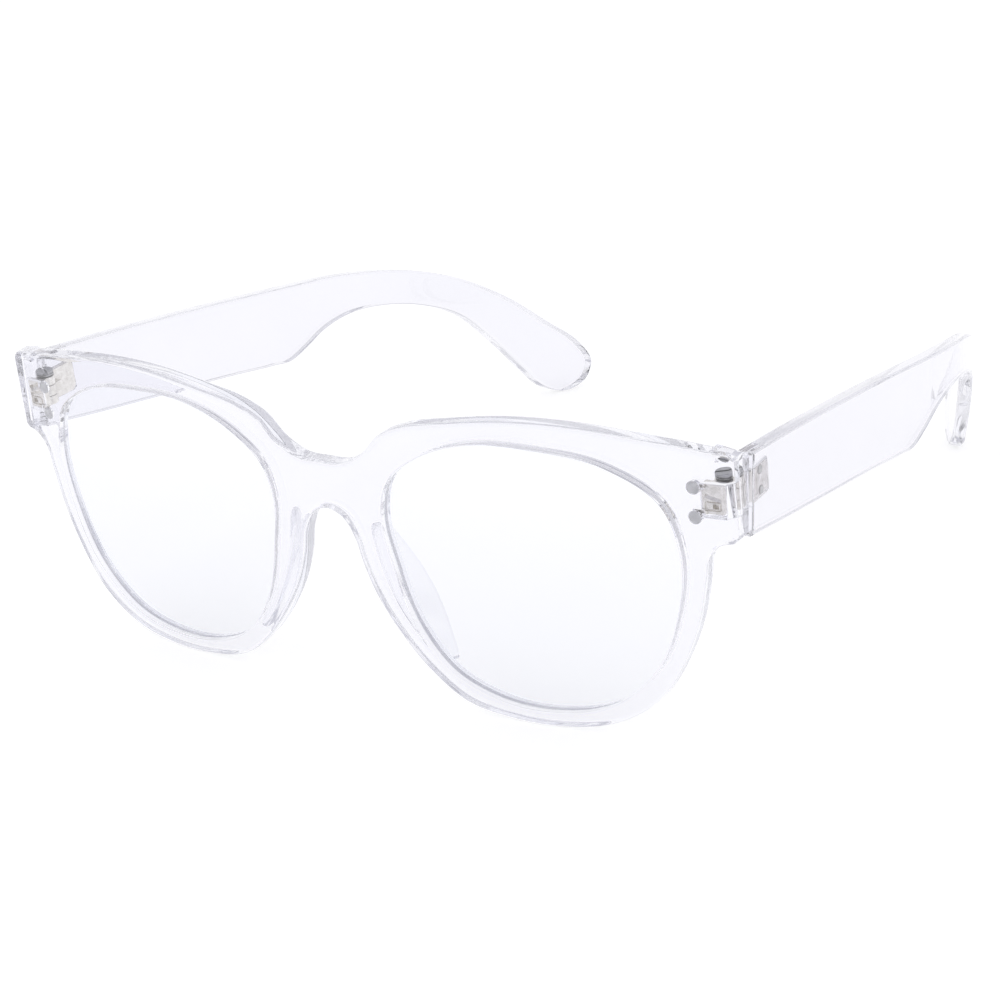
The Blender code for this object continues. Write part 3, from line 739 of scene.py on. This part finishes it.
def temple_face(y):
    """How far out the temple's outer side is at y, in mm."""
    straight = TEMPLE_OUT - TEMPLE_CONVERGE * (y - TEMPLE_START)
    return straight - EAR_CURL * max(0.0, y - EAR_START) ** 2


def temple_outline():
    corners = []
    top, bottom, chamfer = TEMPLE_FRONT_TOP, TEMPLE_FRONT_BOTTOM, TEMPLE_CHAMFER
    for z, inset in ((top, chamfer), (top - chamfer, 0.0), (bottom + chamfer, 0.0), (bottom, chamfer)):
        corners.append((BUTT + CLEARANCE + inset, z, CORNER))
    return smooth_loop(corners + TEMPLE_LOWER + TEMPLE_TIP + TEMPLE_UPPER, 1.2)


def stand_up(mesh, outer_side, thickness):
    """Turns a slab drawn in y and z upright, with its outer side as far out as the function says, in mm."""
    for vertex in mesh.vertices:
        y, z, across = vertex.co
        vertex.co = ((outer_side(y / MM) - thickness / 2) * MM + across, y, z)


def temple_hinge_space():
    """The room in the left temple for its leaf and for the barrel and screw beside it."""
    out = TEMPLE_LEAF_OUT
    low = HINGE_Z - LEAF_POCKET / 2
    high = HINGE_Z + LEAF_POCKET / 2
    cuts = [box_mesh((TEMPLE_CUT_IN, 15.0, low), (out + 0.08, 21.08, high), 0.6)]
    cuts.append(rod_mesh(KNUCKLE + 0.2, HINGE_Z - 2.9, 19.3, HINGE_CENTRE))
    cuts.append(box_mesh((TEMPLE_CUT_IN, 9.0, HINGE_Z - 2.9), (HINGE_X, HINGE_Y + 1.8, 19.25)))
    cuts.append(box_mesh((TEMPLE_CUT_IN, HINGE_Y, HINGE_Z - 1.1), (out - 0.1, 16.5, HINGE_Z + 1.1)))
    return cuts


def make_temple(side, sign, clear):
    mesh = slab([temple_outline()], TEMPLE_THICK, TEMPLE_ROUNDING)
    slice_across(mesh, 0, [EAR_START + 1.0 + 2.0 * i for i in range(36)])
    stand_up(mesh, temple_face, TEMPLE_THICK)
    mesh = flipped(mesh, sign)
    mesh.transform(HEAD_TO_FRONT)
    mesh = combined(mesh, [("DIFFERENCE", flipped(cut, sign)) for cut in temple_hinge_space()])
    piece(f"arm_{side}", mesh, FRONT, clear, f"temple_{side}", f"temple_{side}", slot="clear_plastic")


def turned_box(low, high, degrees, tip):
    """A box tipped about the line across its middle, then turned about the one that runs back."""
    mesh = box_mesh(low, high, 0.03)
    middle = Vector([(a + b) / 2 * MM for a, b in zip(low, high)])
    mesh.transform(Matrix.Translation(-middle))
    mesh.transform(Matrix.Rotation(math.radians(tip), 4, "X"))
    mesh.transform(Matrix.Rotation(math.radians(degrees), 4, "Y"))
    mesh.transform(Matrix.Translation(middle))
    return mesh


def flutes(low, high):
    """Thin upright cuts round the barrel."""
    cuts = []
    for i in range(FLUTE_COUNT):
        turn = math.radians(FLUTE_START + FLUTE_STEP * i)
        rim = KNUCKLE + 0.02
        centre = (HINGE_X + rim * math.cos(turn), HINGE_Y + rim * math.sin(turn))
        cuts.append(rod_mesh(FLUTE_RADIUS, low, high, centre, sides=12))
    return cuts


def stamped_relief():
    """The window, the raised pad with its slot, and the creases on the front face of the block."""
    steps = [("DIFFERENCE", box_mesh(*WINDOW, 0.4, 5))]
    steps.append(("UNION", box_mesh(*WINDOW_PAD, 0.1)))
    steps.append(("DIFFERENCE", box_mesh(*WINDOW_SLOT, 0.05)))
    for low, high, degrees, tip in CREASES:
        steps.append(("DIFFERENCE", turned_box(low, high, degrees, tip)))
    return steps


def make_front_leaf(side, sign, nickel):
    leaf = box_mesh((BLOCK_IN, BLOCK_FRONT, BLOCK_LOW), (BLOCK_OUT, BLOCK_BACK, BLOCK_TOP), 0.22)
    steps = []
    for height in NECKS:
        neck = box_mesh((64.95, 8.95, height - NECK / 2), (67.2, 9.9, height + NECK / 2), 0.1)
        steps.append(("UNION", neck))
    lower = (BARREL_LOW, MIDDLE_LOW - KNUCKLE_GAP)
    upper = (MIDDLE_HIGH + KNUCKLE_GAP, BARREL_HIGH)
    for bottom, top in (lower, upper):
        arm_low = (67.2, 11.0, max(bottom, BLOCK_LOW) + ARM_INSET)
        arm = box_mesh(arm_low, (69.6, HINGE_Y, top - ARM_INSET), 0.05)
        knuckle = rod_mesh(KNUCKLE, bottom, top, HINGE_CENTRE, chamfer=0.12)
        steps += [("UNION", arm), ("UNION", knuckle)]
    steps += stamped_relief()
    for y in GROOVE_PLACES:
        place = (BLOCK_OUT + 0.02, y)
        groove = rod_mesh(GROOVE_RADIUS, BARREL_LOW - 1, BARREL_HIGH + 2, place, sides=12)
        steps.append(("DIFFERENCE", groove))
    steps += [("DIFFERENCE", flute) for flute in flutes(BARREL_LOW - 1, BARREL_HIGH + 1)]
    steps.append(("DIFFERENCE", rod_mesh(PIN_HOLE, BARREL_LOW - 1, BARREL_HIGH + 1, HINGE_CENTRE)))
    leaf = flipped(combined(leaf, steps), sign)
    name = f"hinge_front_leaf_{side}"
    piece(f"front_leaf_{side}", leaf, FRONT, nickel, "front", name, slot="nickel_hinge")


def make_temple_leaf(side, sign, nickel):
    out = TEMPLE_LEAF_OUT
    plate = slab([[Vector(p) for p in TEMPLE_LEAF]], TEMPLE_LEAF_THICK, 0.2, 2)
    stand_up(plate, lambda y: out, TEMPLE_LEAF_THICK)
    arm_low = (67.3, HINGE_Y, MIDDLE_LOW + ARM_INSET)
    arm = box_mesh(arm_low, (out - 0.25, 16.0, MIDDLE_HIGH - ARM_INSET), 0.05)
    knuckle = rod_mesh(KNUCKLE, MIDDLE_LOW, MIDDLE_HIGH, HINGE_CENTRE, chamfer=0.1)
    steps = [("UNION", arm), ("UNION", knuckle)]
    for height in RIVET_HEIGHTS.values():
        steps.append(("DIFFERENCE", rod_mesh(RIVET_HOLE, out - 0.2, out + 1, (RIVET_Y, height), "X")))
    crease = box_mesh((out - 0.12, 15.9, HINGE_Z - 1.9), (out + 1, 17.0, HINGE_Z + 1.9), 0.1)
    steps.append(("DIFFERENCE", crease))
    steps += [("DIFFERENCE", flute) for flute in flutes(MIDDLE_LOW - 1, MIDDLE_HIGH + 1)]
    steps.append(("DIFFERENCE", rod_mesh(PIN_HOLE, HINGE_Z - 4, HINGE_Z + 4, HINGE_CENTRE)))
    leaf = flipped(combined(plate, steps), sign)
    name = f"hinge_temple_leaf_{side}"
    piece(f"temple_leaf_{side}", leaf, FRONT, nickel, f"temple_{side}", name, slot="nickel_hinge")


def make_screw(side, sign, steel):
    """A pan-head screw with a groove round its head, whose pin runs down through the barrel."""
    top = BARREL_HIGH
    head = rod_mesh(SCREW_HEAD, top + 0.1, top + 1.15, HINGE_CENTRE, chamfer=0.2)
    groove = rod_mesh(SCREW_HEAD + 0.25, top + 0.5, top + 0.62, HINGE_CENTRE)
    neck = rod_mesh(SCREW_HEAD - 0.2, top + 0.4, top + 0.7, HINGE_CENTRE)
    pin = rod_mesh(PIN, BARREL_LOW - 0.25, top + 0.4, HINGE_CENTRE, chamfer=0.1)
    slot = box_mesh((-2.5, -SLOT_WIDTH / 2, top + 0.65), (2.5, SLOT_WIDTH / 2, top + 2.2))
    slot.transform(Matrix.Rotation(math.radians(SLOT_TURN), 4, "Z"))
    slot.transform(Matrix.Translation((HINGE_X * MM, HINGE_Y * MM, 0)))
    steps = [("DIFFERENCE", groove), ("UNION", neck), ("UNION", pin), ("DIFFERENCE", slot)]
    screw = flipped(combined(head, steps), sign)
    piece(f"screw_{side}", screw, FRONT, steel, "front", f"hinge_screw_{side}", slot="steel_screw")


def make_studs(side, sign, bright):
    """The studs that hold the front leaf, and the rivets that show on the temple's leaf."""
    for place, height in STUD_HEIGHTS.items():
        stud = rod_mesh(STUD_RADIUS, STUD_Y, STUD_BACK, (STUD_X, height), "Y", chamfer=0.1)
        name = f"front_stud_{place}_{side}"
        piece(f"stud_{place}_{side}", flipped(stud, sign), FRONT, bright, "front", name, slot="bright_stud")
    out = TEMPLE_LEAF_OUT
    for place, height in RIVET_HEIGHTS.items():
        stud = rod_mesh(RIVET_RADIUS, out - 0.15, out + 0.25, (RIVET_Y, height), "X", chamfer=0.1)
        name = f"temple_stud_{place}_{side}"
        body = f"temple_{side}"
        piece(f"rivet_{place}_{side}", flipped(stud, sign), FRONT, bright, body, name, slot="bright_stud")


# --- Stage -------------------------------------------------------------------------------------------


def make_floor():
    mesh = bpy.data.meshes.new("floor")
    bm = bmesh.new()
    bmesh.ops.create_grid(bm, x_segments=1, y_segments=1, size=3.0)
    bm.to_mesh(mesh)
    bm.free()
    floor = bpy.data.objects.new("floor", mesh)
    floor.location.z = -0.00005
    shader = Shader("floor")
    shader.set(Roughness=0.9)
    shader.bsdf.inputs["Emission Color"].default_value = (1.0, 1.0, 1.0, 1.0)
    shader.bsdf.inputs["Emission Strength"].default_value = FLOOR_GLOW
    shader.link(shader.ramp(shader.noise(6.0), (0.45, 0.45, 0.45), (0.47, 0.47, 0.47)), "Base Color")
    mesh.materials.append(shader.material)
    bpy.context.scene.collection.objects.link(floor)


def make_world():
    """A white studio with darker bands, which the clear plastic and the metal show."""
    world = bpy.data.worlds.new("studio")
    bpy.context.scene.world = world
    world.use_nodes = True
    tree = world.node_tree
    background = tree.nodes["Background"]
    coords = tree.nodes.new("ShaderNodeTexCoord")
    split = tree.nodes.new("ShaderNodeSeparateXYZ")
    tree.links.new(coords.outputs["Generated"], split.inputs["Vector"])
    ramp = tree.nodes.new("ShaderNodeValToRGB")
    ramp.color_ramp.elements[0].color = (1.0, 1.0, 1.0, 1.0)
    ramp.color_ramp.elements[1].color = (0.85, 0.85, 0.87, 1.0)
    for place, level in SKY:
        band = ramp.color_ramp.elements.new(place)
        band.color = (level, level, min(1.0, level * 1.09), 1.0)
    tree.links.new(split.outputs["Z"], ramp.inputs["Fac"])
    tree.links.new(ramp.outputs["Color"], background.inputs["Color"])
    background.inputs["Strength"].default_value = SKY_STRENGTH


def make_lights():
    for name, place, size, power in (
        ("key", (-0.6, -0.5, 1.1), 0.8, 0.5),
        ("fill", (0.9, -0.3, 0.8), 0.7, 0.3),
    ):
        light = bpy.data.lights.new(name, "AREA")
        light.shape = "DISK"
        light.size = size
        light.energy = power
        obj = bpy.data.objects.new(name, light)
        obj.location = place
        obj.rotation_euler = (Vector((0, 0, 0.02)) - obj.location).to_track_quat("-Z", "Y").to_euler()
        bpy.context.scene.collection.objects.link(obj)


def make_camera():
    """The camera is set from its azimuth, height and roll about the glasses' level head axes."""
    azimuth, elevation, roll = (math.radians(v) for v in (32.93, 16.24, -1.0))
    across, above, distance = 28.0, 9.85, 434.65
    back = Vector(
        (
            math.sin(azimuth) * math.cos(elevation),
            -math.cos(azimuth) * math.cos(elevation),
            math.sin(elevation),
        )
    )
    right = Vector((math.cos(azimuth), math.sin(azimuth), 0))
    up = back.cross(right)
    turned_right = right * math.cos(roll) + up * math.sin(roll)
    turned_up = up * math.cos(roll) - right * math.sin(roll)
    place = (turned_right * across + turned_up * above + back * distance) * MM
    turn = Matrix((turned_right, turned_up, back)).transposed().to_4x4()
    camera = bpy.data.cameras.new("camera")
    camera.lens = 94.4532
    camera.sensor_width = 36
    camera.shift_x = 0.00024
    camera.shift_y = -0.01205
    camera.clip_start = 0.01
    obj = bpy.data.objects.new("camera", camera)
    obj.matrix_world = HEAD @ Matrix.Translation(place) @ turn
    bpy.context.scene.collection.objects.link(obj)
    bpy.context.scene.camera = obj


def main():
    scene = bpy.context.scene
    scene.view_settings.view_transform = "Standard"
    scene.cycles.max_bounces = 32
    scene.cycles.glossy_bounces = 32
    scene.cycles.transmission_bounces = 32
    make_camera()
    make_floor()
    make_world()
    make_lights()
    clear = clear_plastic("clear_plastic", (0.905, 0.905, 0.942), (0.92, 0.92, 0.952))
    clear_arm = clear_plastic("clear_arm", (0.87, 0.868, 0.91), (0.885, 0.882, 0.922))
    clear_pad = clear_plastic("clear_pad", (0.955, 0.955, 0.975), (0.965, 0.965, 0.98))
    lens = coated_lens()
    ground = ground_edge()
    nickel = metal("nickel_hinge", (0.68, 0.655, 0.61), (0.9, 0.88, 0.84), 0.18)
    steel = metal("steel_screw", (0.28, 0.28, 0.29), (0.5, 0.5, 0.51), 0.3)
    bright = metal("bright_stud", (0.66, 0.66, 0.65), (0.85, 0.85, 0.84), 0.5)
    make_front(clear)
    for side, sign in SIDES:
        make_lens(side, sign, lens, ground)
        make_nose_pad(side, sign, clear_pad)
        make_temple(side, sign, clear_arm)
        make_front_leaf(side, sign, nickel)
        make_temple_leaf(side, sign, nickel)
        make_screw(side, sign, steel)
        make_studs(side, sign, bright)


main()
